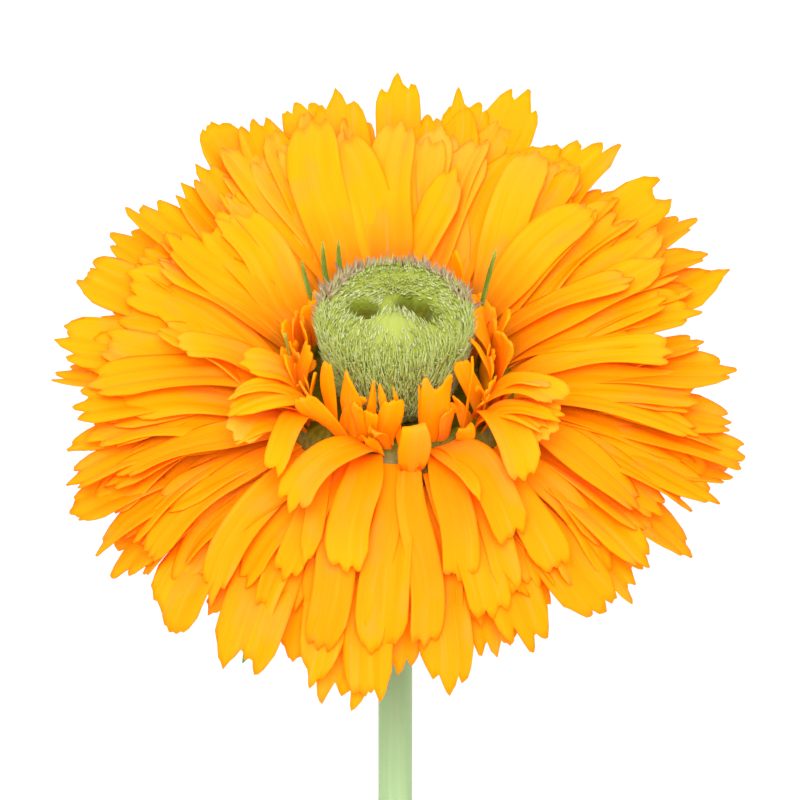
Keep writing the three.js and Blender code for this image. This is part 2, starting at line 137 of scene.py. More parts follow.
# Where a petal ends, as a share of its length, at five places across its width, clockwise.
TIP = {
    "round": [0.92, 0.98, 1, 0.98, 0.91],
    "three": [0.97, 0.96, 1, 0.95, 0.98],
    "notch": [0.94, 1, 0.955, 0.99, 0.95],
    "point": [0.84, 0.94, 1, 0.93, 0.83],
    "slant": [0.89, 0.93, 0.96, 1, 0.95],
    "slope": [0.95, 1, 0.965, 0.93, 0.88],
    "fork": [1, 0.9, 0.76, 0.88, 0.98],
    "sharp": [0.66, 0.86, 1, 0.84, 0.62],
}
TIP_KINDS = ["round", "three", "notch", "point", "slant", "slope"]  # the ones that drawn petals have

# Rows are [clock, reach, width, tip]. Clock is degrees round from +Y towards +X, seen from above,
# and reach is millimetres from the head's centre to the petal's tip, seen from above.

# The outermost petals, which make the bloom's outline.
EDGE_PETALS = [
    [0.5, 35.6, 4.8, "three"], [7, 31.4, 4.6, "round"], [12, 35.0, 4.8, "point"],
    [17, 33.4, 4.8, "round"], [24, 37.4, 6.6, "round"], [34.5, 33.2, 6.0, "round"],
    [41.5, 38.0, 6.4, "slant"], [48, 33.6, 5.4, "round"], [54.5, 38.8, 6.0, "notch"],
    [61, 39.8, 5.8, "round"], [66.5, 38.8, 5.2, "round"], [71.5, 40.3, 5.8, "point"],
    [77, 36.2, 4.6, "point"], [83, 35.2, 5.0, "round"], [88, 39.9, 6.2, "point"],
    [96, 39.3, 5.6, "round"], [101.5, 41.6, 6.0, "three"], [106, 40.4, 4.6, "round"],
    [110.8, 40.0, 4.6, "point"], [120.5, 39.0, 6.0, "round"], [125.5, 35.4, 4.8, "round"],
    [131, 37.4, 6.2, "slant"], [137.5, 35.8, 6.2, "round"], [147.5, 31.8, 5.2, "three"],
    [152.5, 34.4, 5.8, "three"], [160, 33.2, 5.0, "three"], [170, 35.8, 5.4, "round"],
    [179, 33.0, 4.6, "round"], [184.5, 36.4, 5.0, "notch"], [190.5, 38.0, 5.8, "notch"],
    [195.5, 36.2, 4.4, "point"], [200.5, 33.8, 4.6, "round"], [208.5, 37.6, 6.8, "notch"],
    [216, 34.8, 5.2, "three"], [223.5, 38.8, 6.8, "slope"], [235.5, 39.3, 6.6, "round"],
    [240.5, 39.6, 4.0, "point"], [247.8, 39.8, 5.6, "round"], [253, 38.8, 5.6, "round"],
    [258.5, 38.9, 3.8, "point"], [265.5, 37.0, 5.2, "three"], [271, 39.3, 5.2, "round"],
    [277, 39.2, 6.2, "three"], [283.5, 34.4, 5.0, "round"], [290.5, 38.6, 6.2, "notch"],
    [298.5, 37.2, 5.8, "round"], [305, 36.6, 6.2, "slope"], [313, 33.6, 5.8, "round"],
    [318.5, 34.0, 5.0, "round"], [325.5, 37.2, 6.4, "round"], [332, 35.2, 5.6, "round"],
    [341, 34.8, 6.0, "round"], [348.5, 34.4, 6.4, "round"],
]

# Shorter petals in front of them, whose tips show on the face of the bloom.
FACE_PETALS = [
    [4, 25.2, 6.2, "round"], [17, 28.6, 6.4, "three"], [28, 24.6, 6.2, "round"], [38, 29.2, 6.4, "round"],
    [49, 24.8, 6.0, "round"], [60, 29.2, 6.4, "round"], [67, 25.4, 5.8, "point"],
    [75, 34.0, 6.0, "round"], [84, 28.4, 6.0, "three"], [95, 31.0, 6.2, "notch"],
    [103, 24.6, 6.0, "three"], [112, 32.4, 6.4, "round"], [119, 25.2, 6.2, "three"],
    [130, 29.8, 6.4, "slope"], [138, 24.0, 6.0, "round"], [149, 28.8, 6.2, "three"],
    [160, 24.8, 6.2, "three"], [170, 28.4, 5.8, "round"], [181, 25.0, 6.0, "round"],
    [190, 30.0, 6.2, "three"], [200, 26.4, 6.0, "round"], [209, 29.6, 6.2, "three"],
    [217, 24.4, 5.8, "point"], [224, 30.6, 6.4, "three"], [233, 25.6, 6.0, "round"],
    [243, 31.2, 6.2, "three"], [252, 25.4, 6.2, "slant"], [262, 33.0, 6.0, "round"],
    [270, 27.6, 6.4, "round"], [279, 34.4, 6.4, "three"], [287, 27.4, 6.0, "slant"],
    [297, 31.6, 6.2, "round"], [307, 27.0, 6.2, "point"], [316, 30.6, 6.4, "round"],
    [327, 24.2, 6.2, "notch"], [336, 29.4, 6.6, "round"], [347, 25.8, 6.2, "round"],
    [356, 30.4, 5.8, "three"],
]

# Rows are [clock, reach, width, tip, arch], for the petals nearest the disc, all but the ones over the stem.
# Arch is how strongly a petal is bent, in degrees. The draws for these petals count on from FIRST_CURLED.
FIRST_CURLED = 9
CURLED_PETALS = [
    [250, 19.2, 5.0, "three", 40], [264, 17.6, 5.4, "round", 36], [279, 19.6, 5.2, "slant", 26],
    [297, 20.8, 5.6, "round", 18], [318, 22.0, 5.4, "point", 8], [342, 22.4, 5.6, "round", 2],
    [10, 22.6, 5.8, "round", 2], [40, 21.6, 5.4, "round", 10], [66, 19.4, 5.4, "three", 20],
    [90, 17.4, 4.8, "round", 42], [110, 18.8, 5.6, "three", 46],
]

# The short florets round the disc
FLORET_ROOT = -0.9  # height of their roots in the head's frame
FLORET_RISE = 88  # degrees at which they leave the receptacle

# Rows are [azimuth, length, width, tip, lean, sway], for the short florets that stand beside the disc and
# behind it. Azimuth is degrees about the head's axis from +X, lean is degrees outwards from upright, and
# sway sideways.
DISC_SIDE_FLORETS = [
    [168, 8.6, 3.0, "round", 10, 8], [138, 8.0, 2.8, "point", 8, -6], [104, 7.6, 2.6, "round", 8, 8],
    [70, 8.0, 2.8, "round", 8, -8], [38, 8.2, 2.6, "point", 8, 6], [14, 10.0, 3.0, "round", 10, -6],
    [52, 12.8, 2.4, "point", 3, 8], [-160, 9.0, 3.0, "point", 10, -8],
]

# Rows are [clock, reach, width, tip, arch, swing], for the curled petals over the stem. Swing turns a petal's
# root about the head's axis, in degrees.
FRONT_PETALS = [
    [233, 17.3, 3.2, "notch", 60, -19], [219, 19.0, 4.6, "three", 62, 14],
    [206.5, 23.4, 2.4, "point", 36, -8], [193.5, 22.4, 4.9, "round", 42, -4],
    [174, 30.6, 3.8, "three", 34, 3], [162, 24.0, 4.2, "three", 40, 9], [144, 16.4, 1.7, "point", 26, -3],
    [143, 22.8, 4.9, "notch", 58, -3], [127.5, 18.8, 4.4, "round", 66, 20],
    [210, 26.0, 3.6, "three", 30, 6], [151, 27.6, 3.4, "round", 34, 6], [185, 31.0, 3.4, "round", 30, 4],
]

# Rows are [azimuth, tip X, tip Y, out, bow, width, tip, twist], for the florets in front of the disc. X and Y
# are seen from above and counted from the head's centre. Out is how far the tip leans out over the stem, bow
# how far the middle is bent outwards, and twist is in degrees.
FRONT_FLORETS = [
    [-173, -8.9, 3.6, 0, 1.2, 2.6, "slant", 30], [-158, -9.6, 4.8, 0, 0.8, 2.5, "slant", 10],
    [-143, -8.8, 1.5, 0, 0.8, 1.5, "round", -30], [-130, -7.6, 2.7, 0, 0.5, 2.0, "notch", -8],
    [-122, -10.6, -1.3, 1.6, 1.2, 2.7, "slant", 16], [-117, -5.6, 2.0, 0, 0.6, 2.9, "sharp", -20],
    [-134, -3.1, -1.6, 2.4, 1.2, 1.6, "round", 24], [-103, -4.2, -2.0, 1.2, 1.0, 1.6, "slant", -16],
    [-101, -2.4, 0.7, 0, 0.6, 1.1, "sharp", 30], [-97, -1.7, 0.1, 0, 0.6, 0.9, "point", -20],
    [-95, 0.1, -1.6, 0.9, 0.9, 2.7, "three", 14], [-92, -2.8, -5.4, 2.6, 2.2, 1.8, "notch", -20],
    [-91, -0.3, 0.0, 0, 0.5, 0.8, "sharp", 0], [-77, 2.6, 0.0, 0, 0.5, 1.2, "sharp", -12],
    [-82, 1.8, -11.2, 3.4, 7.8, 3.9, "round", 6], [-64, 4.9, 1.5, 0.6, 0.9, 3.5, "fork", -6],
    [-40, 7.2, 3.0, 0, 0.8, 2.1, "slant", -24], [-45, 8.6, 3.2, 0, 0.6, 1.0, "sharp", 40],
    [-17, 8.2, 5.4, 0, 1.6, 2.0, "sharp", 14], [-30, 8.8, -0.4, 2, 2.4, 1.0, "round", 60],
    [-36, 4.8, -2.6, 3, 1.6, 1.2, "sharp", -10], [6, 8.9, 8.9, 0, 0.8, 3.6, "slant", -14],
    [-6, 12.2, 6.2, 0, 1.0, 3.2, "slope", 26], [-25, 14.9, 1.5, 0, 2.2, 2.8, "round", -10],
    [-56, 7.6, -6.8, 2.4, 3.2, 2.2, "notch", 26], [-110, -1.0, -8.2, 2.4, 3.4, 1.6, "sharp", -20],
    [-150, -10.8, 0.2, 0.6, 1.0, 1.4, "sharp", 40], [-52, 6.4, -1.2, 0.8, 0.8, 1.3, "sharp", -44],
    [-60, 6.0, -2.6, 1.2, 0.9, 2.2, "slant", 20], [-106, -2.6, -3.0, 1.6, 1.0, 2.0, "notch", -10],
]

BENT_BOW = 3  # florets bowed by more than this are broad at the end and hardly toothed

# Rows are [azimuth, length, drop], with the drop in degrees from the plane of the head.
LEAFY_BRACTS = [[-128, 26, -36], [-108, 25, -44]]

# Rows are [azimuth, length, lean], for the green needles that stand between the disc and the petals.
NEEDLE_BRACTS = [[138, 12, 16], [128, 13.6, 8], [120, 13.2, 6], [36, 14.4, 12], [190, 10.4, 6]]

# Rows are [x, y, radius, depth], for the pits in the crown.
PITS = [[-3.5, -1.2, 1.7, 3.0], [1.3, 0.3, 1.2, 2.4], [2.8, -0.6, 1.4, 2.8], [3.8, -2.4, 1.2, 2.0]]
PIT_STEEPNESS = 6  # the higher, the steeper the walls
CROWN_FROM = 10  # only what is higher than this is sunk

# The smooth, bright lip in front of the pits, in the head's frame
LIP_CENTRE = [-0.4, -4.3]
LIP_RADII = [3.2, 2.8]
LIP_RISE = 0.5
LIP_FROM = 8.5  # the lip lies higher than this

# The fibres on the disc
FIBRE_SWAY = 0.4  # between the furthest lean to the left and to the right, as a share of their length
FIBRE_SUNK = 0.25  # share of their length that is sunk
FIBRE_PIT_DEPTH = 0.5  # none are rooted deeper in a pit than this

# Where each group starts in the one count of petals and bracts that the draws for their forms go by
FIRST_ITEM = {
    "edge": 0, "face": 100, "curled": 200, "drawn curled": 230, "front": 250, "side florets": 300,
    "front florets": 310, "drawn florets": 350, "between": 400, "bracts": 500, "leafy bracts": 540,
    "needles": 560,
}


def edge_reach(clock):
    """The reach of the bloom's outline at any clock angle, from the outermost petals."""
    return np.interp(clock, [row[0] for row in EDGE_PETALS], [row[1] for row in EDGE_PETALS], period=360)


def away(clock):
    """From 1 for the petals on the far side to -1 for the ones over the stem."""
    return math.cos(math.radians(clock))


def tip_height(clock, reach):
    """Height of a petal's tip above the head's centre. Short petals ride higher, on top of the long ones."""
    far = away(clock)
    rise = (FULL_REACH - reach) * (SHORT_RISE - FAR_RISE_LOSS * max(0, far)) - TIP_DROP
    slope = (FAR_SLOPE if far > 0 else NEAR_SLOPE) * (reach / FULL_REACH) ** SLOPE_POWER
    return rise - slope * far


def drawn_tip(i, k):
    """One of the plain kinds of tip, by a draw."""
    return TIP_KINDS[int(len(TIP_KINDS) * draw(i, k))]


def petal_line(clock, reach, height, arch, root_radius, root_height, swing):
    """The line down the middle of a petal: four control points, and the way across it at its root."""
    at = math.radians(clock)
    plan = reach * (1 + FAR_STRETCH * math.cos(at))
    tip = np.array([plan * math.sin(at), plan * math.cos(at), height]) @ HEAD_TURN
    azimuth = math.atan2(tip[1], tip[0]) + math.radians(swing)
    root = direction(azimuth, 0) * root_radius + [0, 0, root_height]
    chord = tip - root
    length = np.linalg.norm(chord)
    elevation = math.asin(chord[2] / length)
    heading = math.atan2(chord[1], chord[0])
    bow = math.radians(arch)
    handle = length / (3 * math.cos(bow / 2) ** 2)
    leaving = direction(mix(heading, azimuth, 0.4), elevation + bow) * handle
    arriving = direction(heading, elevation - bow) * handle
    points = np.array([root, root + leaving, tip - arriving, tip])
    return points, direction(heading + math.pi / 2, 0)


def floret_line(azimuth, length, lean, sway, curl=1.6, radius=11.6):
    """The line of a short floret beside the disc. Its tip leans curl times as far as lean says."""
    around = math.radians(azimuth)
    root = direction(around, 0) * radius + [0, 0, FLORET_ROOT]
    side = direction(around + math.pi / 2, 0)
    start = direction(around, math.radians(FLORET_RISE)) * length / 3
    end = direction(around, math.radians(90 - curl * lean)) + side * math.tan(math.radians(sway))
    end = end / np.linalg.norm(end) * length / 3
    middle = root + start
    bend = middle + (start + end) * 0.5
    return np.array([root, middle, bend, bend + end]), side


def strap_line(azimuth, tip_x, tip_y, out, bow):
    """The line of a floret in front of the disc, from where its tip is seen from above."""
    around = math.radians(azimuth)
    root = direction(around, 0) * 11.3 + [0, 0, FLORET_ROOT]
    depth = root[1] - out
    tip = np.array([tip_x, depth, (tip_y - TILT_COS * depth) / TILT_SIN])
    lift = direction(around, math.radians(50 + 8 * min(out, 5))) * bow * 4 / 3
    points = np.array([root, mix(root, tip, 1 / 3) + lift, mix(root, tip, 2 / 3) + lift, tip])
    return points, direction(around + math.pi / 2, 0)


def bract_line(azimuth, length, drop, root_height):
    """The line of a bract, which leaves the cup a little above its drop and ends a little below it."""
    around = math.radians(azimuth)
    points = [direction(around, 0) * 7.2 + [0, 0, root_height]]
    for turn in (8, 0, -8):
        points.append(points[-1] + direction(around, math.radians(drop + turn)) * length / 3)
    return np.array(points), direction(around + math.pi / 2, 0)


def bezier(points, t):
    """Points at the shares t of a curve with four control points."""
    t = t[..., None]
    a, b, c, d = points
    return a * (1 - t) ** 3 + 3 * b * t * (1 - t) ** 2 + 3 * c * t * t * (1 - t) + d * t ** 3


def bezier_way(points, t):
    """The curve's direction at the same shares."""
    t = t[..., None]
    a, b, c, d = points
    return unit((b - a) * (1 - t) ** 2 + 2 * (c - b) * t * (1 - t) + (d - c) * t * t)


def half_width(width, s, root_share, widest):
    """Half the width of a petal at a share s of its length. It narrows a little over its last part."""
    narrowed = 1 - 0.7 * np.maximum(s - 0.85, 0)
    return width / 2 * mix(root_share, 1, smooth(s / widest)) * narrowed


class Body:
    """Gathers the points and faces of one piece, with a place on its skin and a tone for each point."""

    def __init__(self):
        self.points = []
        self.faces = []
        self.places = []
        self.tones = []
        self.count = 0

    def add(self, points, faces, places, tones):
        """Points in the shared frame in millimetres. Places are two numbers a point, and tones are one."""
        self.points.append(points)
        self.faces.extend([[int(i) + self.count for i in face] for face in faces])
        self.places.append(places)
        self.tones.append(np.broadcast_to(tones, len(points)))
        self.count += len(points)

    def piece(self, name, material, node, slot):
        """Makes the piece in metres, on the one body, in place of the node."""
        mesh = bpy.data.meshes.new(name)
        mesh.from_pydata((np.concatenate(self.points) * 0.001).tolist(), [], self.faces)
        mesh.polygons.foreach_set("use_smooth", [True] * len(mesh.polygons))
        corners = np.zeros(len(mesh.loops), np.int32)
        mesh.loops.foreach_get("vertex_index", corners)
        places = np.concatenate(self.places).astype(np.float32)
        mesh.uv_layers.new(name="place").data.foreach_set("uv", places[corners].ravel())
        tone = mesh.attributes.new("tone", "FLOAT", "POINT")
        tone.data.foreach_set("value", np.concatenate(self.tones).astype(np.float32))
        mesh.materials.append(material)
        mesh.update()
        piece = bpy.data.objects.new(name, mesh)
        bpy.context.scene.collection.objects.link(piece)
        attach(piece, "root")
        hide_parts(node)


def sheet_faces(rows, columns):
    """Faces of a closed sheet: the upper points row by row, then the lower ones."""
    lower = rows * columns
    faces = []
    for j in range(rows - 1):
        for i in range(columns - 1):
            a = j * columns + i
            faces.append([a, a + 1, a + columns + 1, a + columns])
            faces.append([lower + a, lower + a + columns, lower + a + columns + 1, lower + a + 1])
    rim = [j * columns for j in range(rows)]
    rim += [(rows - 1) * columns + i for i in range(1, columns)]
    rim += [j * columns + columns - 1 for j in range(rows - 2, -1, -1)]
    rim += list(range(columns - 2, 0, -1))
    for a, b in zip(rim, rim[1:] + rim[:1]):
        faces.append([a, b, lower + b, lower + a])
    return faces


def petal_ends(u, tip, item, depth):
    """Where a petal ends across its width, as shares of its length, and where it lies between two teeth."""
    teeth = 1.5 * u + 0.5 + spread(item, 20, 0.35)
    notch = np.abs(2 * (teeth - np.floor(teeth)) - 1)
    drops = np.array([draw(item, 50 + k) for k in range(5)])[np.floor(teeth).astype(int) + 2]
    cuts = (0.2 + 1.2 * draw(item, 26)) * notch ** 1.5 + 0.9 * (drops - drops.min())
    frays = 0.22 * np.sin(11 * u + 20 * draw(item, 28)) ** 2
    corners = 0.04 * np.clip((np.abs(u) - 0.8) / 0.2, 0, 1) ** 2
    ends = np.interp(2 - 2 * u, range(5), TIP[tip]) - depth * (cuts + frays) - corners
    return ends, notch


def add_petal(
    body, line, width, tip, item, rows=22, columns=17, cup=0.12, twist=0.0, pleat=0.2, wave=0.5, teeth=0.9,
    orange=0.3, start=0.0, root_share=ROOT_WIDTH_SHARE, widest=WIDEST_AT, pale=0.2,
):
    """A petal as a thin closed sheet, with soft pleats along it, a waved edge and a toothed end.

    Item is its number for the draws. Cup, pleat, wave and teeth are how strong these are on it, twist is in
    degrees, orange and pale are the tone of its blade and how much paler its tip is, and start is where its
    root lies in the run of colours from root to tip, in millimetres. Orange is partly painted shade, raised
    on the petals over the stem. The paler tip is partly painted highlight, and a negative start stretches the
    painted shade at the root.
    """
    points, side = line
    length = np.linalg.norm(points[3] - points[0])
    size = width / 6
    u = np.linspace(-1, 1, columns)
    ends, notch = petal_ends(u, tip, item, teeth * size / length)
    at = np.linspace(0, 1, rows)[:, None] * ends
    across = u * np.ones((rows, 1))
    way = bezier_way(points, at)
    right = unit(side - way * (way @ side)[..., None])
    turn = math.radians(twist) * at[..., None]
    over = right * np.cos(turn) + np.cross(way, right) * np.sin(turn)
    up = np.cross(way, over)

    half = half_width(width, at, root_share, widest)
    grown = smooth(at / 0.6)
    phase = 4 * math.pi * draw(item, 21)
    cupped = cup * across ** 2 * half
    pleats = pleat * (0.6 + 0.8 * draw(item, 22)) * grown * (notch ** 2 - 0.4)
    waves = wave * grown * across ** 2 * np.sin(2.4 * math.pi * at + phase) * np.sign(across)
    curl = spread(item, 23, 1.6) * np.clip((at - 0.7) / 0.3, 0, 1) ** 2
    relief = cupped + size * (waves - pleats + curl)
    drift = spread(item, 24, 1.8) * np.sin(2 * math.pi * at) * length / 25

    middle = bezier(points, at) + over * (across * half + drift)[..., None] + up * relief[..., None]
    skin = PETAL_THICKNESS / 2 * (1 - 0.5 * across ** 2)
    upper = to_world(middle + up * skin[..., None])
    lower = to_world(middle - up * skin[..., None])
    lowest = 0.9 * draw(item, 27)
    upper[..., 2] = np.maximum(upper[..., 2], lowest + PETAL_THICKNESS)
    lower[..., 2] = np.maximum(lower[..., 2], lowest)
    sheet = np.concatenate([upper.reshape(-1, 3), lower.reshape(-1, 3)])
    places = np.stack([item * 3.1 + 0.5 * across * half, start + at * length], axis=-1).reshape(-1, 2)
    # The tone falls towards the tip, giving a paler tip that is partly painted highlight. Orange adds painted
    # shade as well as the blade's own tone.
    tones = (orange + 0.35 * draw(item, 25) - pale * smooth((at - 0.6) / 0.4)).reshape(-1)
    body.add(sheet, sheet_faces(rows, columns), np.tile(places, (2, 1)), np.tile(tones, 2))


def edge_petals():
    """The outermost petals, every other one behind its neighbours."""
    body = Body()
    for i, (clock, reach, width, tip) in enumerate(EDGE_PETALS):
        under = i % 2
        far = away(clock)
        line = petal_line(
            clock, reach + TOOTH_REACH,
            height=tip_height(clock, reach) + (-1.1 if under else 1.1),
            arch=15 - 9 * far + 4 * draw(i, 1),
            root_radius=11,
            root_height=-4.6 if under else -3.6,
            swing=spread(i, 2, 14),
        )
        add_petal(
            body, line, 1.12 * width, tip, FIRST_ITEM["edge"] + i,
            # Orange is raised on the petals over the stem, and start runs the brown root colour further out
            # on the far petals. Both are painted shade.
            twist=spread(i, 3, 24), teeth=1.3, orange=0.3 - 0.16 * far, start=-6 * max(0, far),
        )
    body.piece("edge_petals", petal_material, "ray_florets", "petals")


def face_petals():
    """The petals on the face of the bloom. A draw lengthens each of them some way towards the outline."""
    body = Body()
    for i, (row_clock, row_reach, row_width, tip) in enumerate(FACE_PETALS):
        under = i % 2
        clock = row_clock + spread(i, 13, 8)
        far = away(clock)
        reach = mix(row_reach, edge_reach(clock) - 2, mix(0.5, 1, draw(i, 14)))
        width = row_width * mix(0.7, 1.15, draw(i, 15)) * mix(1, 0.75, max(0, -far))
        line = petal_line(
            clock, reach,
            height=tip_height(clock, reach) + (-0.9 if under else 0.9),
            arch=mix(22, 28, (34 - reach) / 12) - 11 * far + 3 * draw(i, 5),
            root_radius=11.4,
            root_height=-2.6 if under else -1.6,
            swing=spread(i, 6, 26),
        )
        add_petal(
            body, line, width, tip, FIRST_ITEM["face"] + i,
            # Orange is raised on the petals over the stem, and start runs the brown root colour further out
            # on the far petals. Both are painted shade.
            twist=spread(i, 7, 44), teeth=1.2, orange=0.12 - 0.36 * far, start=-8 * max(0, far),
        )
    body.piece("face_petals", petal_material, "ray_florets", "petals")


def add_curled_petals(body):
    """The petals nearest the disc. On the far side they are lengthened towards the outline."""
    for i, (clock, row_reach, width, tip, arch) in enumerate(CURLED_PETALS, FIRST_CURLED):
        far = max(0, away(clock))
        reach = mix(row_reach, edge_reach(clock) - 4 * draw(i, 10), far ** 0.5)
        line = petal_line(
            clock, reach,
            height=tip_height(clock, reach) + 2.4 * max(0, -away(clock)),
            arch=arch,
            root_radius=12.2,
            root_height=-0.6,
            swing=spread(i, 8, 24),
        )
        add_petal(
            body, line, 0.85 * width, tip, FIRST_ITEM["curled"] + i,
            # Start runs the brown root colour further out on the far petals, which is painted shade. The
            # paler tip is partly painted highlight.
            twist=spread(i, 9, 50), pleat=0.12, orange=0.0, start=-8.5 * far, pale=0.4,
        )


def add_front_petals(body):
    """The curled petals over the stem. The long ones lie a little lower, under the short ones."""
    for i, (clock, reach, width, tip, arch, swing) in enumerate(FRONT_PETALS):
        line = petal_line(
            clock, reach,
            height=tip_height(clock, reach) - 2.4 * away(clock) - 1.6 * (reach > 22),
            arch=arch,
            root_radius=11.6,
            root_height=-0.2,
            swing=swing,
        )
        add_petal(
            body, line, width, tip, FIRST_ITEM["front"] + i,
            # The high orange is partly painted shade on these low petals over the stem, and the pale tip is
            # partly painted highlight.
            twist=spread(i, 9, 24), pleat=0.08, wave=0.25, orange=0.55, start=3, root_share=0.66, pale=0.6,
        )


def add_drawn_curled_petals(body, count=8):
    """Curled petals placed by draws, in turn to the left and to the right of the ones over the stem."""
    for i in range(count):
        clock = 180 + (58 + 40 * draw(i, 16)) * (-1 if i % 2 else 1)
        reach = mix(15, 20, draw(i, 17))
        line = petal_line(
            clock, reach,
            height=tip_height(clock, reach) + 1.8 - 2.5 * draw(i, 18),
            arch=mix(48, 70, draw(i, 19)),
            root_radius=mix(11, 12.8, draw(i, 39)),
            root_height=-0.9,
            swing=spread(i, 28, 30),
        )
        add_petal(
            body, line, mix(2.4, 4.8, draw(i, 29)), drawn_tip(i, 35), FIRST_ITEM["drawn curled"] + i,
            twist=spread(i, 38, 50), orange=0.05,
        )


def add_side_florets(body):
    """The florets that stand beside the disc and behind it."""
    for i, (azimuth, length, width, tip, lean, sway) in enumerate(DISC_SIDE_FLORETS):
        add_petal(
            body, floret_line(azimuth, length, lean, sway), width, tip, FIRST_ITEM["side florets"] + i,
            rows=18, columns=9, twist=spread(i, 12, 80), pleat=0.12, wave=0.2, orange=0.1, start=6,
        )


def add_front_florets(body):
    """The florets in front of the disc. Draws move their roots a little, so that they lean and cross."""
    for i, (azimuth, tip_x, tip_y, out, bow, width, tip, twist) in enumerate(FRONT_FLORETS):
        bent = bow > BENT_BOW
        add_petal(
            body, strap_line(azimuth + spread(i, 69, 16), tip_x, tip_y, out, bow), width, tip,
            FIRST_ITEM["front florets"] + i,
            rows=18, columns=13, twist=2 * twist, pleat=0.1, wave=0.2 if bent else 0.6,
            teeth=0.4 if bent else 1.3, orange=0.3, start=8, root_share=0.3 if bent else 0.6,
            widest=0.9 if bent else 0.5, pale=0.1,
        )


def add_drawn_florets(body, count=40):
    """Short florets all round the disc, placed by draws, but for the part in front of it."""
    for i in range(count):
        azimuth = i * GOLDEN_ANGLE
        front = max(0, -math.sin(math.radians(azimuth)))
        if front > 0.6:
            continue
        length = mix(6.5, 8.5, draw(i, 60)) - 1.5 * front
        lean = mix(2, 13, draw(i, 62))
        sway = spread(i, 63, mix(24, 90, front))
        radius = mix(10, 12, draw(i, 65)) - 0.6 * front
        width = mix(mix(3.2, 4.8, draw(i, 67)), mix(1.2, 2.2, draw(i, 67)), front)
        add_petal(
            body, floret_line(azimuth, length, lean, sway, 1 + 1.4 * draw(i, 64), radius), width,
            drawn_tip(i, 66), FIRST_ITEM["drawn florets"] + i,
            rows=14, columns=9, twist=spread(i, 68, 90), pleat=0.12, wave=0.15, orange=0.15, start=5,
        )


def inner_florets():
    """The curled petals nearest the disc, and the short florets round it."""
    body = Body()
    add_curled_petals(body)
    add_front_petals(body)
    add_drawn_curled_petals(body)
    add_side_florets(body)
    add_front_florets(body)
    add_drawn_florets(body)
    body.piece("inner_florets", petal_material, "ray_florets", "petals")


def between_petals(count=84):
    """Petals that fill the space between the layers, placed by draws."""
    body = Body()
    for i in range(count):
        clock = i * GOLDEN_ANGLE
        far = away(clock)
        reach = edge_reach(clock) - mix(2, 8, draw(i, 30))
        line = petal_line(
            clock, reach,
            height=tip_height(clock, reach) - 1.8 + 1.6 * draw(i, 31),
            arch=20 - 10 * far + 6 * draw(i, 32),
            root_radius=11.2,
            root_height=-3.2 + draw(i, 33),
            swing=spread(i, 34, 36),
        )
        width = mix(3.6, 6.2, draw(i, 36)) * mix(1, 0.75, max(0, -far))
        add_petal(
            body, line, width, drawn_tip(i, 35), FIRST_ITEM["between"] + i,
            # Orange is raised on the petals over the stem, and start runs the brown root colour further out
            # on the far petals. Both are painted shade.
            twist=spread(i, 37, 50), teeth=1.2, orange=0.16 - 0.36 * far, start=-6 * max(0, far),
        )
    body.piece("between_petals", petal_material, "ray_florets", "petals")


def tube_faces(rings, sides):
    """Faces of a closed tube, ring by ring, with one flat face at each end."""
    faces = []
    for j in range(rings - 1):
        for i in range(sides):
            a = j * sides + i
            b = j * sides + (i + 1) % sides
            faces.append([a, b, b + sides, a + sides])
    faces.append(list(range(sides))[::-1])
    faces.append([(rings - 1) * sides + i for i in range(sides)])
    return faces


def turned(profile, sides):
    """Points and faces of a solid of revolution about the head's axis, from [radius, height] pairs."""
    around = np.arange(sides) * 2 * math.pi / sides
    rings = [
        np.stack([r * np.cos(around), r * np.sin(around), np.full(sides, h)], axis=-1)
        for r, h in profile
    ]
    return np.concatenate(rings), tube_faces(len(profile), sides)


def spikes(body, roots, ways, lengths, halves, tones):
    """Slim three-sided spikes, each with a point at both ends."""
    aside = unit(np.cross(ways, [0.13, 0.21, 0.97]))
    out = np.cross(aside, ways)
    count = len(roots)
    rings = []
    for k in range(3):
        angle = 2 * math.pi * k / 3
        reach = aside * math.cos(angle) + out * math.sin(angle)
        rings.append(roots + ways * (lengths * 0.4)[:, None] + reach * halves[:, None])
    tips = roots + ways * lengths[:, None]
    points = np.stack([roots, *rings, tips], axis=1).reshape(-1, 3)
    faces = []
    for b in range(0, 5 * count, 5):
        for k in range(3):
            c = b + 1 + k
            d = b + 1 + (k + 1) % 3
            faces.append([b, d, c])
            faces.append([c, d, b + 4])
    places = np.stack([np.repeat(np.arange(count) * 0.37, 5), np.tile([0, 0.4, 0.4, 0.4, 1], count)], axis=-1)
    body.add(to_world(points), faces, places, np.repeat(tones, 5))


def receptacle():
    """The shallow dish that the petals and the disc sit in."""
    body = Body()
    profile = [[0.05, -5.6], [11, -5.6], [13.4, -4.9], [14.4, -4.2], [14.5, -2.4], [14.2, -1.2], [13, 0.1]]
    profile += [[11.6, 0.9], [10.9, 0.9], [10.5, 0.3], [10.4, -0.6], [0.05, -0.6]]
    points, faces = turned(profile, 72)
    around = np.arctan2(points[:, 1], points[:, 0])
    body.add(to_world(points), faces, np.stack([around * 12, points[:, 2]], axis=-1), 0.1)
    body.piece("receptacle", receptacle_material, "ray_florets", "disc")


def disc_profile(share):
    """Radius and height on the disc, from its foot at 0 over the rim at 0.7 to its crown at 1."""
    marks = [0, 0.16, 0.3, 0.42, 0.53, 0.62, 0.7, 0.78, 0.85, 0.92, 1]
    radii = [6.4, 7.0, 7.6, 8.1, 8.5, 8.5, 8.0, 7.0, 5.4, 2.8, 0.05]
    heights = [-0.3, 2.0, 4.0, 6.2, 8.2, 9.8, 11.0, 11.9, DISC_HEIGHT, 12.1, 11.9]
    return np.interp(share, marks, radii), np.interp(share, marks, heights)


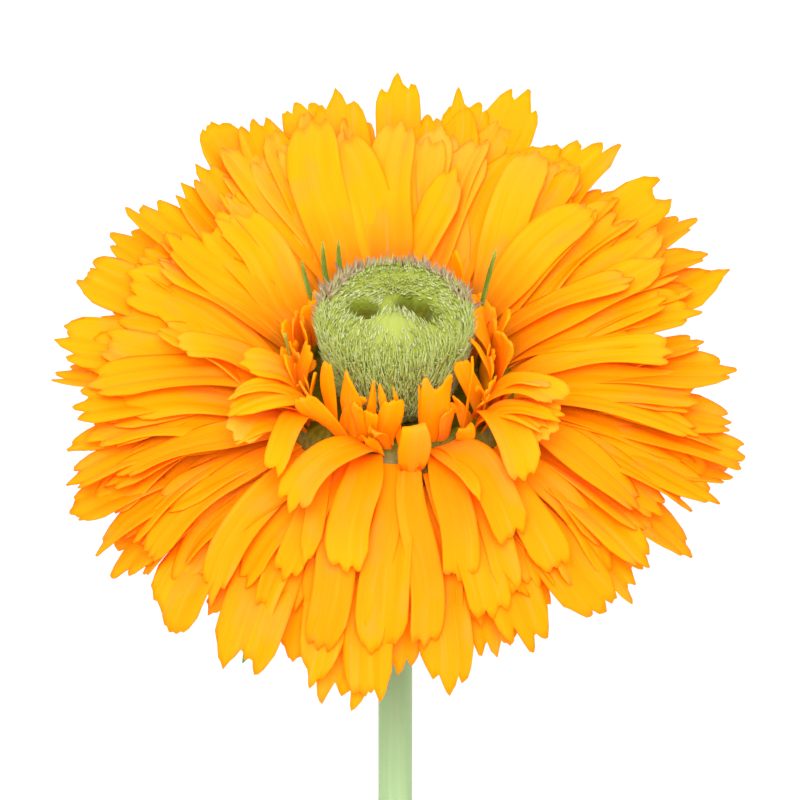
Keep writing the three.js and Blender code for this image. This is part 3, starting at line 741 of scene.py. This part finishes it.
def pit_depth(points):
    """How deep the crown is sunk at each point, from the pits' places, radii and depths."""
    depth = np.zeros(len(points))
    for x, y, radius, sunk in PITS:
        apart = np.hypot(points[:, 0] - x, points[:, 1] - y) / radius
        depth = np.maximum(depth, sunk * np.exp(-apart ** PIT_STEEPNESS))
    return np.where(points[:, 2] > CROWN_FROM, depth, 0)


def lip_share(points):
    """How much a point belongs to the smooth, bright lip in front of the pits."""
    apart = (points[:, :2] - LIP_CENTRE) / LIP_RADII
    return np.exp(-apart[:, 0] ** 2 - apart[:, 1] ** 2) * (points[:, 2] > LIP_FROM)


def combed(body, count, key, low, high, least, most, lengths, halves, tones, first=-180, last=180):
    """Fibres combed up the disc towards its crown.

    They are rooted from low to high on the profile, and from first to last about the axis in degrees. Least
    and most are their lift off the disc in degrees. Key is where the purposes of their draws start. The lip
    keeps few of them.
    """
    chance = np.array([[draw(i, key + k) for i in range(count)] for k in range(7)])
    for_share, for_azimuth, for_lift, for_side, for_length, for_half, for_tone = chance
    share = mix(low, high, for_share)
    around = np.radians(mix(first, last, for_azimuth))
    nothing = np.zeros(count)
    ring = np.stack([np.cos(around), np.sin(around), nothing], axis=-1)
    side = np.stack([-np.sin(around), np.cos(around), nothing], axis=-1)
    upright = np.array([0, 0, 1.0])
    radius, height = disc_profile(share)
    wider, higher = disc_profile(np.minimum(share + 0.03, 1))
    climb = np.arctan2(higher - height, wider - radius)
    lift = climb - np.radians(mix(least, most, for_lift))
    ways = ring * np.cos(lift)[:, None] + upright * np.sin(lift)[:, None]
    ways = unit(ways + side * (FIBRE_SWAY * (for_side - 0.5))[:, None])
    roots = ring * radius[:, None] + upright * height[:, None]
    keep = (lip_share(roots) < 0.3 + 0.5 * for_tone) & (pit_depth(roots) < FIBRE_PIT_DEPTH)
    roots[:, 2] -= pit_depth(roots) - LIP_RISE * lip_share(roots)
    length = mix(*lengths, for_length)
    half = mix(*halves, for_half)
    tone = mix(*tones, for_tone)
    roots = roots - ways * (FIBRE_SUNK * length)[:, None]
    spikes(body, roots[keep], ways[keep], length[keep], half[keep], tone[keep])


def disc_button():
    """The green button with two pits in its crown, and the fibres that cover it."""
    body = Body()
    points, faces = turned(list(zip(*disc_profile(np.linspace(0, 1, 80)))), 128)
    around = np.arctan2(points[:, 1], points[:, 0])
    ripple = 0.12 * np.sin(31 * around + 2 * points[:, 2]) * np.sin(2.2 * points[:, 2] + 5 * around)
    points = points + unit(points - [0, 0, 5]) * ripple[:, None]
    depth = pit_depth(points)
    lip = lip_share(points)
    points[:, 2] += LIP_RISE * lip - depth
    places = np.stack([around * 9, points[:, 2]], axis=-1)
    # The tone drops with the depth of the pits. This is painted shade.
    tones = np.clip(0.48 + 0.16 * lip - 0.35 * depth, 0, 1)
    body.add(to_world(points), faces, places, tones)
    combed(
        body, count=4200, key=40, low=0.02, high=0.66, least=6, most=16,
        lengths=(2.0, 4.0), halves=(0.07, 0.14), tones=(0.55, 0.92),
    )
    combed(
        body, count=2400, key=70, low=0.56, high=0.95, least=20, most=60,
        lengths=(0.6, 1.5), halves=(0.09, 0.17), tones=(0.38, 0.98),
    )
    body.piece("disc_bracts", disc_material, "disc", "disc")


def disc_down():
    """Fine whitish hairs all over the disc, and larger, brown and pinkish ones on its far rim."""
    body = Body()
    combed(
        body, count=2600, key=50, low=0.05, high=0.95, least=30, most=85,
        lengths=(0.4, 1.2), halves=(0.05, 0.08), tones=(0.4, 0.7),
    )
    combed(
        body, count=360, key=80, low=0.5, high=0.76, least=0, most=70,
        lengths=(1.3, 2.7), halves=(0.16, 0.34), tones=(0.75, 1.0), first=8, last=172,
    )
    combed(
        body, count=130, key=110, low=0.54, high=0.74, least=5, most=60,
        lengths=(2.0, 3.8), halves=(0.26, 0.48), tones=(0.8, 1.0), first=12, last=168,
    )
    body.piece("disc_down", down_material, "disc", "disc")


def needles():
    """The green needles that stand between the disc and the petals."""
    body = Body()
    for i, (azimuth, length, lean) in enumerate(NEEDLE_BRACTS):
        add_petal(
            body, floret_line(azimuth, length, lean, 0), 0.7, "point", FIRST_ITEM["needles"] + i,
            rows=14, columns=5, pleat=0.0, wave=0.0, teeth=0.0,
        )
    body.piece("needle_bracts", needle_material, "disc", "disc")


def involucre(count=20):
    """The green cup under the petals, with two rows of bracts and a pair of longer, leafy ones."""
    body = Body()
    profile = [[0.05, -5.9], [10.2, -5.9], [CUP_RADIUS, -6.1], [10.4, -6.9], [9.7, -7.6], [8.2, -8.6]]
    profile += [[6.4, -9.5], [4.4, -10.2], [2.9, -10.7], [2.6, -CUP_BOTTOM], [0.05, -CUP_BOTTOM]]
    points, faces = turned(profile, 64)
    around = np.arctan2(points[:, 1], points[:, 0])
    places = np.stack([around * 8, points[:, 2]], axis=-1)
    body.add(to_world(points), [face[::-1] for face in faces], places, 0.4)
    for i in range(count):
        azimuth = 360 / count * i + spread(i, 10, 6)
        far = math.sin(math.radians(azimuth))
        length = mix(9.5, 6.2, (far + 1) / 2) + 1.5 * draw(i, 11)
        slope = 4 + 8 * max(0, far) - 26 * max(0, -far)
        line = bract_line(azimuth, length, slope, -7.2 if i % 2 else -8)
        add_petal(body, line, 2.8, "point", FIRST_ITEM["bracts"] + i, cup=0.2, pleat=0.1, wave=0.15)
    for i, (azimuth, length, drop) in enumerate(LEAFY_BRACTS):
        line = bract_line(azimuth, length, drop, -7.6)
        add_petal(
            body, line, 4.2, "point", FIRST_ITEM["leafy bracts"] + i,
            rows=30, cup=0.15, pleat=0.12, wave=0.4,
        )
    body.piece("green_bracts", bract_material, "involucre", "bracts")


def stem():
    """The stem: from under the cup it bends down to the surface and lies along it to the cut end."""
    sides = 40
    bend_steps = 40
    run_steps = 60
    first_lying = bend_steps - 2  # from this step on it lies on the surface, and is flat underneath
    down = np.array([0, -TILT_SIN, -TILT_COS])
    lying = STEM_RADIUS * math.cos(math.pi / FLAT_SIDES)
    start = np.array([0, 0, HEAD_HEIGHT]) + down * (CUP_BOTTOM + 0.1)
    bend = np.array([start, start + down * 8, [0, BEND_Y, lying], [0, BEND_END, lying]])
    t = np.linspace(0, 1, bend_steps)
    run = np.linspace(BEND_END - 2, STEM_END, run_steps)
    middles = np.concatenate([bezier(bend, t), np.stack([run * 0, run, run * 0 + lying], axis=-1)])
    ways = np.concatenate([bezier_way(bend, t), np.tile([0.0, -1.0, 0.0], (run_steps, 1))])
    up = unit(np.cross([1.0, 0, 0], ways))
    around = 2 * math.pi * np.arange(sides) / sides
    radius = STEM_RADIUS * (1 + 0.006 * np.cos(7 * around))
    rings = []
    for step, (middle, lift) in enumerate(zip(middles, up)):
        height = radius * np.sin(around)
        if step >= first_lying:
            height = np.maximum(height, -lying)
        ring = middle + lift * height[:, None]
        ring[:, 0] += radius * np.cos(around)
        ring[:, 2] = np.maximum(ring[:, 2], 0)
        rings.append(ring)
    points = np.concatenate(rings) + [HEAD_PLACE[0], HEAD_PLACE[1], 0]
    travel = np.repeat(np.arange(len(rings)) * 1.3, sides)
    places = np.stack([np.tile(around * 2, len(rings)), travel], axis=-1)
    body = Body()
    body.add(points, tube_faces(len(rings), sides), places, 0.5)
    body.piece("smooth_stem", stem_material, "stem", "stem")


class Nodes:
    """A material's nodes, joined up by name."""

    def __init__(self, name):
        self.material = bpy.data.materials.new(name)
        self.material.use_nodes = True
        self.tree = self.material.node_tree
        self.shader = self.tree.nodes["Principled BSDF"]

    def node(self, kind, **settings):
        made = self.tree.nodes.new(kind)
        for key, value in settings.items():
            setattr(made, key, value)
        return made

    def link(self, start, end):
        self.tree.links.new(start, end)

    def place(self, scale):
        """The point's place on its petal, stretched by a scale across and along."""
        source = self.node("ShaderNodeUVMap", uv_map="place")
        stretch = self.node("ShaderNodeVectorMath", operation="MULTIPLY")
        stretch.inputs[1].default_value = (*scale, 1)
        self.link(source.outputs["UV"], stretch.inputs[0])
        return stretch.outputs[0]

    def noise(self, vector, detail=3.0):
        made = self.node("ShaderNodeTexNoise")
        made.inputs["Scale"].default_value = 1
        made.inputs["Detail"].default_value = detail
        self.link(vector, made.inputs["Vector"])
        return made.outputs["Fac"]

    def ramp(self, value, stops):
        """Colours by value. Stops are (place, colour) pairs."""
        made = self.node("ShaderNodeValToRGB")
        ramp = made.color_ramp
        while len(ramp.elements) < len(stops):
            ramp.elements.new(0.5)
        for element, (at, colour) in zip(ramp.elements, stops):
            element.position = at
            element.color = (*colour, 1)
        self.link(value, made.inputs["Fac"])
        return made.outputs["Color"]

    def blend(self, share, first, second):
        """The second colour over the first by a share, each given as a value or as a socket."""
        made = self.node("ShaderNodeMix", data_type="RGBA")
        for value, socket in ((share, made.inputs[0]), (first, made.inputs[6]), (second, made.inputs[7])):
            if isinstance(value, bpy.types.NodeSocket):
                self.link(value, socket)
            else:
                socket.default_value = value
        return made.outputs[2]

    def scaled(self, value, low, high, to_low=0.0, to_high=1.0):
        """The value, moved from one range to another and kept inside it."""
        made = self.node("ShaderNodeMapRange")
        for socket, number in zip(("From Min", "From Max", "To Min", "To Max"), (low, high, to_low, to_high)):
            made.inputs[socket].default_value = number
        self.link(value, made.inputs["Value"])
        return made.outputs["Result"]

    def bump(self, height, distance, strength):
        """Fine relief in the skin. The distance is in metres."""
        made = self.node("ShaderNodeBump")
        made.inputs["Distance"].default_value = distance
        made.inputs["Strength"].default_value = strength
        self.link(height, made.inputs["Height"])
        self.link(made.outputs["Normal"], self.shader.inputs["Normal"])

    def attribute(self, name):
        return self.node("ShaderNodeAttribute", attribute_name=name).outputs["Fac"]

    def let_through(self, colour, share):
        """Lets a share of the light through a thin sheet, in its own colour."""
        glow = self.node("ShaderNodeBsdfTranslucent")
        both = self.node("ShaderNodeMixShader")
        both.inputs[0].default_value = share
        self.link(colour, glow.inputs["Color"])
        self.link(self.shader.outputs[0], both.inputs[1])
        self.link(glow.outputs[0], both.inputs[2])
        self.link(both.outputs[0], self.tree.nodes["Material Output"].inputs["Surface"])

    def set(self, **values):
        """Sets the shader's own sockets."""
        for name, value in values.items():
            self.shader.inputs[name.replace("_", " ")].default_value = value


def make_petal_material():
    """Golden orange, made deeper towards the root by painted shade, with fine streaks and pale lines of
    painted highlight along each petal, and a paler tip that is partly painted highlight.
    """
    m = Nodes("petal")
    parts = m.node("ShaderNodeSeparateXYZ")
    m.link(m.place((1, 1)), parts.inputs[0])
    # The run of colours starts brown at the root. This is painted shade, and the far petals' negative start
    # stretches it out behind the disc.
    colour = m.ramp(m.scaled(parts.outputs["Y"], 0, 22), [
        (0.0, (0.55, 0.16, 0.0)),
        (0.16, (0.98, 0.31, 0.0)),
        (0.4, (0.99, 0.42, 0.0)),
        (1.0, (0.99, 0.40, 0.0)),
    ])
    tone = m.attribute("tone")
    # A high tone pulls towards deeper orange. This is partly the petal's own tone and partly painted shade on
    # the petals over the stem.
    colour = m.blend(tone, colour, (0.98, 0.30, 0.0, 1))
    # A tone below zero, towards the tips, pulls towards pale apricot. This gives a paler tip that is partly
    # painted highlight.
    colour = m.blend(m.scaled(tone, 0, -0.4, 0, 0.4), colour, (1.0, 0.45, 0.09, 1))
    streaks = m.noise(m.place((2.2, 0.05)), 4.0)
    colour = m.blend(m.scaled(streaks, 0.52, 0.7, 0, 0.35), colour, (0.99, 0.46, 0.02, 1))
    patches = m.noise(m.place((0.5, 0.12)), 2.0)
    colour = m.blend(m.scaled(patches, 0.55, 0.7, 0, 0.6), colour, (0.99, 0.35, 0.03, 1))
    # Pale apricot lines along the petals are painted highlights. The darker lines are the petal's own
    # streaks.
    vein_lines_and_highlights = m.noise(m.place((4.0, 0.07)), 1.0)
    colour = m.blend(m.scaled(vein_lines_and_highlights, 0.62, 0.74, 0, 0.24), colour, (1.0, 0.42, 0.10, 1))
    colour = m.blend(m.scaled(vein_lines_and_highlights, 0.40, 0.30, 0, 0.22), colour, (0.97, 0.29, 0.0, 1))
    m.link(colour, m.shader.inputs["Base Color"])
    m.bump(m.noise(m.place((6.0, 0.12))), 0.00012, 0.5)
    m.set(Roughness=0.6, Specular_IOR_Level=0.08)
    m.let_through(colour, 0.45)
    return m.material


def make_disc_material():
    """Pale green, with painted shade that makes it browner and darker in the pits."""
    m = Nodes("disc")
    tone = m.attribute("tone")
    # The lowest tones are the painted shade in the pits.
    body = m.ramp(tone, [
        (0.0, (0.10, 0.09, 0.0)),
        (0.25, (0.14, 0.17, 0.01)),
        (0.5, (0.24, 0.27, 0.03)),
        (0.8, (0.34, 0.39, 0.09)),
        (1.0, (0.49, 0.50, 0.26)),
    ])
    spots = m.noise(m.place((1.5, 1.5)))
    mottled = m.blend(m.scaled(spots, 0.4, 0.7, 0, 0.4), body, (0.20, 0.26, 0.02, 1))
    m.link(mottled, m.shader.inputs["Base Color"])
    m.bump(m.noise(m.place((3.0, 3.0))), 0.0002, 0.6)
    m.set(
        Roughness=0.75, Subsurface_Weight=0.2, Subsurface_Scale=0.001, Sheen_Weight=0.1,
        Specular_IOR_Level=0.15,
    )
    m.shader.inputs["Subsurface Radius"].default_value = (0.6, 1.0, 0.3)
    return m.material


def make_down_material():
    """Whitish hairs with a green cast, and brown to pinkish ones at the highest tones."""
    m = Nodes("down")
    colour = m.ramp(m.attribute("tone"), [
        (0.0, (0.29, 0.33, 0.13)),
        (0.65, (0.44, 0.46, 0.26)),
        (0.8, (0.30, 0.25, 0.12)),
        (1.0, (0.22, 0.11, 0.07)),
    ])
    m.link(colour, m.shader.inputs["Base Color"])
    m.set(Roughness=0.6)
    return m.material


def make_green_material(name, dark, light, across, along, depth=0.001):
    """Green in two shades, streaked across and along. Light reaches the given depth under the skin."""
    m = Nodes(name)
    streaks = m.noise(m.place((across, along)), 4.0)
    colour = m.blend(m.scaled(streaks, 0.35, 0.65), (*dark, 1), (*light, 1))
    m.link(colour, m.shader.inputs["Base Color"])
    m.bump(streaks, 0.0001, 0.4)
    m.set(Roughness=0.5, Subsurface_Weight=0.6, Subsurface_Scale=depth, Specular_IOR_Level=0.25)
    m.shader.inputs["Subsurface Radius"].default_value = (0.5, 1.0, 0.3)
    return m.material


def pale_floor():
    """A pale surface that is lit from within, so that it shows as white."""
    half = 4
    low = -0.0001
    mesh = bpy.data.meshes.new("floor")
    corners = [(-half, -half, low), (half, -half, low), (half, half, low), (-half, half, low)]
    mesh.from_pydata(corners, [], [(0, 1, 2, 3)])
    floor = bpy.data.objects.new("floor", mesh)
    m = Nodes("pale_floor")
    m.set(Base_Color=(0.2, 0.2, 0.2, 1), Roughness=0.9, Emission_Color=(1, 1, 1, 1), Emission_Strength=0.85)
    mesh.materials.append(m.material)
    bpy.context.scene.collection.objects.link(floor)


def studio_light(centre):
    """Even light from all round, and a soft round lamp over the far petals."""
    world = bpy.data.worlds.new("studio")
    bpy.context.scene.world = world
    world.use_nodes = True
    background = world.node_tree.nodes["Background"]
    background.inputs["Color"].default_value = (1, 1, 1, 1)
    background.inputs["Strength"].default_value = 1.5

    light = bpy.data.lights.new("key", "AREA")
    light.shape = "DISK"
    light.size = 0.6
    light.energy = 11
    lamp = bpy.data.objects.new("key", light)
    lamp.location = centre + LAMP_PLACE
    lamp.rotation_euler = LAMP_PLACE.to_track_quat("Z", "Y").to_euler()
    bpy.context.scene.collection.objects.link(lamp)


def camera(centre):
    """A long lens straight above the bloom, looking down."""
    lens = bpy.data.cameras.new("camera")
    lens.lens = 200
    lens.sensor_width = 36
    lens.clip_start = 0.05
    lens.clip_end = 20
    eye = bpy.data.objects.new("camera", lens)
    eye.location = centre + CAMERA_PLACE
    bpy.context.scene.collection.objects.link(eye)
    bpy.context.scene.camera = eye
    bpy.context.scene.view_settings.view_transform = "Standard"


petal_material = make_petal_material()
disc_material = make_disc_material()
down_material = make_down_material()
receptacle_material = make_green_material("receptacle", (0.07, 0.07, 0.0), (0.16, 0.12, 0.0), 2.0, 2.0)
needle_material = make_green_material("needle", (0.12, 0.16, 0.01), (0.20, 0.24, 0.04), 1.0, 0.3)
bract_material = make_green_material("bract", (0.06, 0.17, 0.05), (0.12, 0.23, 0.08), 2.0, 0.3)
stem_material = make_green_material("stem", (0.24, 0.34, 0.17), (0.26, 0.36, 0.18), 1.5, 0.05, 0.003)
pale_floor()
studio_light(Vector(HEAD_PLACE) * 0.001)
camera(Vector(HEAD_PLACE) * 0.001)
edge_petals()
face_petals()
inner_florets()
between_petals()
receptacle()
disc_button()
disc_down()
needles()
involucre()
stem()
